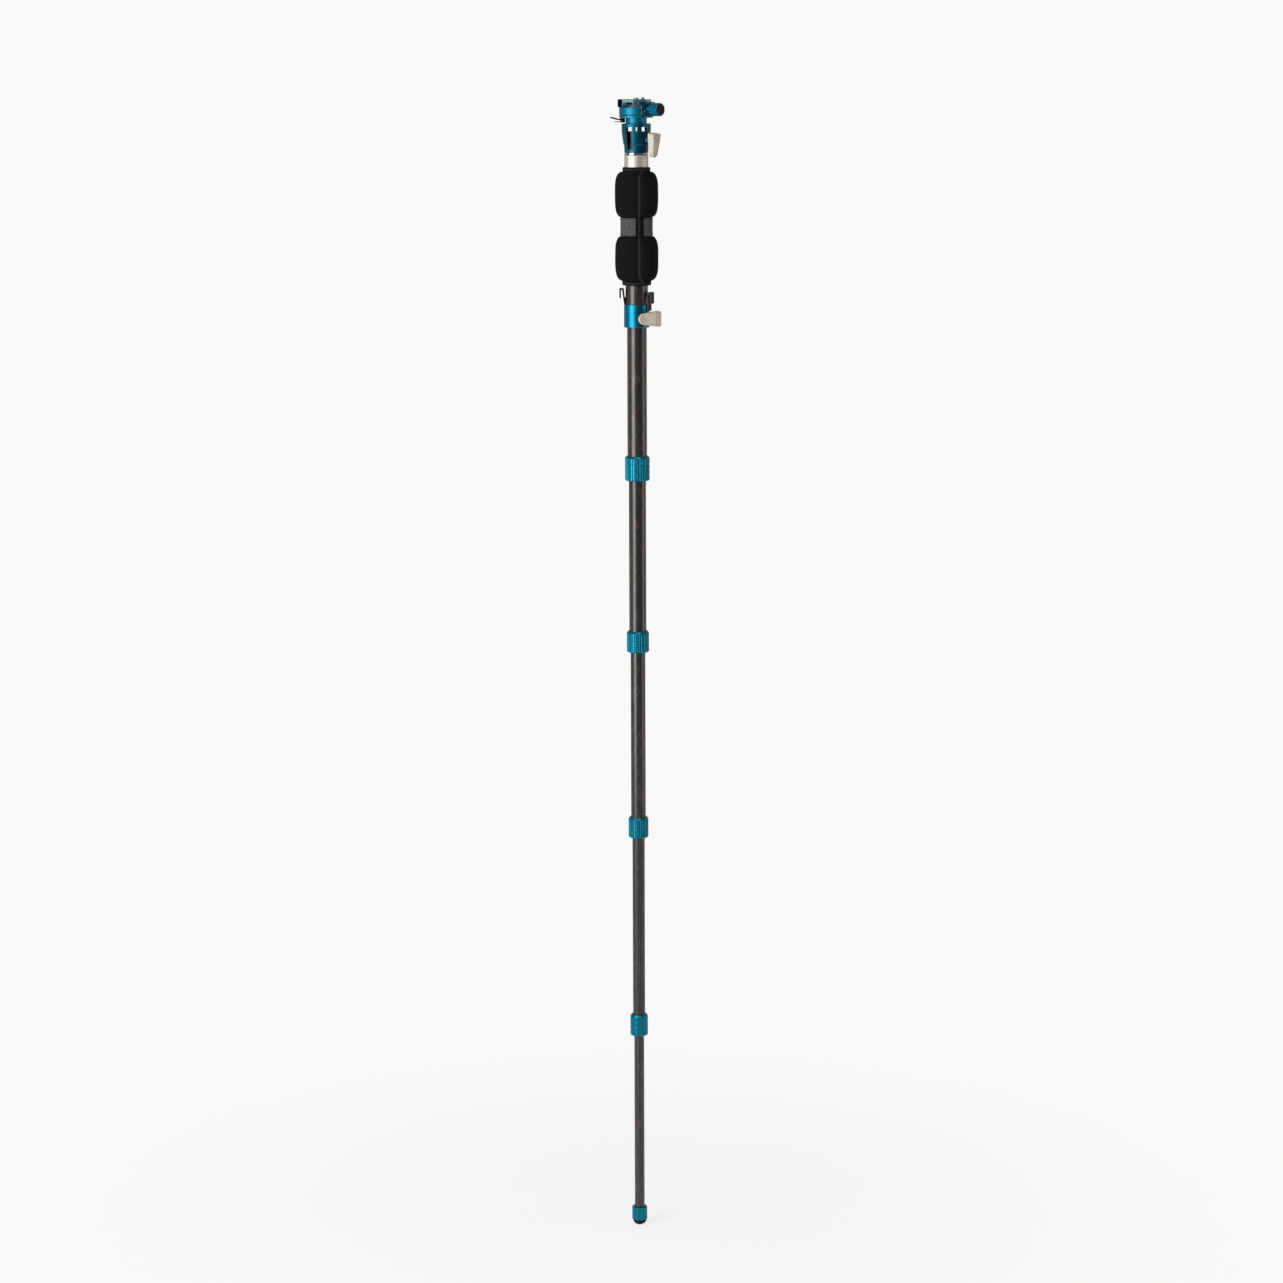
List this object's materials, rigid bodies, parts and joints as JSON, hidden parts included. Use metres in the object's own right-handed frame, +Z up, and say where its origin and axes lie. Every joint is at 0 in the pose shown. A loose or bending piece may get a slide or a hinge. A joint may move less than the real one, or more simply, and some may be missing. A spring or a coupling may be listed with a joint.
{
  "type": "camera monopod",
  "caption": "Telescopic carbon camera monopod, drawn out, with a swivelling and panning dovetail clamp, padded grip, twist locks and rubber foot.",
  "frame": {"origin": "middle of the padded hand grip, on the pole's axis, because the hand holds the monopod up", "axes": "+Z up the pole towards the camera plate; the picture looks along +Y with +X to the right, the clamp knob pointing to the right and towards the viewer"},
  "size_m": [0.0684, 0.0577, 1.4758],
  "materials": {
    "blue_anodised": "satin anodised",
    "plate_anodised": "satin anodised",
    "silver_anodised": "satin anodised",
    "black_anodised": "satin anodised",
    "champagne_metal": "bead blasted",
    "polished_steel": "polished",
    "screw_steel": "satin",
    "carbon_fibre": "clear coated carbon fibre",
    "insert_aluminium": "machined",
    "bearing_plastic": "moulded",
    "black_nylon": "moulded",
    "black_rubber": "matte",
    "wrap_liner": "foam rubber",
    "wrap_fabric": "stretch knit over foam",
    "waist_knit": "ribbed knit"
  },
  "bodies": {
    "handle": {"head_fitting": "silver_anodised", "spigot": "black_anodised", "thrust_washer": "polished_steel", "swivel_washer": "bearing_plastic", "handle_tube": "carbon_fibre", "grip_liner": "wrap_liner", "upper_pad": "wrap_fabric", "lower_pad": "wrap_fabric", "waist_band": "waist_knit", "closure_strip": "wrap_fabric", "strap_clip": "black_nylon", "collar": "blue_anodised", "collar_bush": "bearing_plastic", "brake_shoe": "bearing_plastic"},
    "section_1": {"tube_1": "carbon_fibre", "guide_1": "bearing_plastic", "ferrule_1": "insert_aluminium", "collet_1": "bearing_plastic"},
    "section_2": {"tube_2": "carbon_fibre", "guide_2": "bearing_plastic", "ferrule_2": "insert_aluminium", "collet_2": "bearing_plastic"},
    "section_3": {"tube_3": "carbon_fibre", "guide_3": "bearing_plastic", "ferrule_3": "insert_aluminium", "collet_3": "bearing_plastic"},
    "section_4": {"tube_4": "carbon_fibre", "guide_4": "bearing_plastic", "ferrule_4": "insert_aluminium", "collet_4": "bearing_plastic"},
    "section_5": {"tube_5": "carbon_fibre", "guide_5": "bearing_plastic", "foot_stud": "insert_aluminium"},
    "lock_1": {"lock_1": "blue_anodised"},
    "lock_2": {"lock_2": "blue_anodised"},
    "lock_3": {"lock_3": "blue_anodised"},
    "lock_4": {"lock_4": "blue_anodised"},
    "foot": {"foot_ring": "blue_anodised", "rubber_foot": "black_rubber"},
    "collar_lever": {"collar_lever_paddle": "champagne_metal", "collar_lever_screw": "screw_steel"},
    "swivel_head": {"head_cage": "blue_anodised", "pan_base": "blue_anodised", "pan_washer": "bearing_plastic", "pan_bolt": "screw_steel"},
    "head_lever": {"head_lever_paddle": "champagne_metal", "head_lever_screw": "screw_steel"},
    "pan_lever": {"pan_lever": "black_anodised"},
    "clamp": {"clamp_base": "blue_anodised", "fixed_jaw": "black_anodised", "fixed_jaw_screws": "screw_steel", "clamp_screw": "screw_steel", "jaw_guide_pins": "screw_steel"},
    "moving_jaw": {"moving_jaw": "blue_anodised"},
    "clamp_knob": {"clamp_knob": "blue_anodised", "clamp_knob_cap": "black_anodised"},
    "camera_plate": {"camera_plate": "plate_anodised", "plate_pads": "black_rubber", "anti_twist_pin": "screw_steel"},
    "camera_screw": {"camera_screw": "screw_steel"}
  },
  "joints": [
    {"name": "section_1_slide", "type": "slide", "parent": "handle", "child": "section_1", "axis": [0, 0, 1], "range_m": [0, 0.1537]},
    {"name": "section_2_slide", "type": "slide", "parent": "section_1", "child": "section_2", "axis": [0, 0, 1], "range_m": [0, 0.1863]},
    {"name": "section_3_slide", "type": "slide", "parent": "section_2", "child": "section_3", "axis": [0, 0, 1], "range_m": [0, 0.213]},
    {"name": "section_4_slide", "type": "slide", "parent": "section_3", "child": "section_4", "axis": [0, 0, 1], "range_m": [0, 0.2347]},
    {"name": "section_5_slide", "type": "slide", "parent": "section_4", "child": "section_5", "axis": [0, 0, 1], "range_m": [0, 0.2318]},
    {"name": "lock_1_twist", "type": "hinge", "parent": "section_1", "child": "lock_1", "pos_m": [0, 0, -0.3067], "axis": [0, 0, 1], "range_deg": [-120, 0]},
    {"name": "lock_2_twist", "type": "hinge", "parent": "section_2", "child": "lock_2", "pos_m": [0, 0, -0.53105], "axis": [0, 0, 1], "range_deg": [-120, 0]},
    {"name": "lock_3_twist", "type": "hinge", "parent": "section_3", "child": "lock_3", "pos_m": [0, 0, -0.7756], "axis": [0, 0, 1], "range_deg": [-120, 0]},
    {"name": "lock_4_twist", "type": "hinge", "parent": "section_4", "child": "lock_4", "pos_m": [0, 0, -1.04095], "axis": [0, 0, 1], "range_deg": [-120, 0]},
    {"name": "foot_unscrew", "type": "hinge", "parent": "section_5", "child": "foot", "pos_m": [0, 0, -1.3074], "axis": [0, 0, 1], "continuous": true},
    {"name": "collar_lever_turn", "type": "hinge", "parent": "handle", "child": "collar_lever", "pos_m": [0, 0, -0.1154], "axis": [0.4384, -0.8988, 0], "range_deg": [-100, 0]},
    {"name": "head_swivel", "type": "hinge", "parent": "handle", "child": "swivel_head", "pos_m": [0, 0, 0.0924], "axis": [0, 0, 1], "continuous": true},
    {"name": "head_lever_turn", "type": "hinge", "parent": "swivel_head", "child": "head_lever", "pos_m": [0, 0, 0.1083], "axis": [0.866, -0.5, 0], "range_deg": [0, 120]},
    {"name": "pan_lever_turn", "type": "hinge", "parent": "swivel_head", "child": "pan_lever", "pos_m": [-0.017, -0.00456, 0.136], "axis": [0, 0, 1], "range_deg": [-35, 35]},
    {"name": "pan", "type": "hinge", "parent": "swivel_head", "child": "clamp", "pos_m": [0, 0, 0.1396], "axis": [0, 0, 1], "continuous": true},
    {"name": "moving_jaw_slide", "type": "slide", "parent": "clamp", "child": "moving_jaw", "axis": [0.788, -0.6157, 0], "range_m": [0, 0.0025]},
    {"name": "clamp_knob_turn", "type": "hinge", "parent": "moving_jaw", "child": "clamp_knob", "pos_m": [0, 0, 0.1463], "axis": [0.788, -0.6157, 0], "range_deg": [0, 1285.71]},
    {"name": "camera_plate_slide", "type": "slide", "parent": "clamp", "child": "camera_plate", "axis": [0.6157, 0.788, 0], "range_m": [-0.008, 0.008]},
    {"name": "camera_screw_turn", "type": "hinge", "parent": "camera_plate", "child": "camera_screw", "pos_m": [0, 0, 0.1586], "axis": [0, 0, 1], "continuous": true}
  ],
  "couplings": [
    {"joint": "clamp_knob_turn", "follows": "moving_jaw_slide", "rad_per_m": 8976}
  ]
}
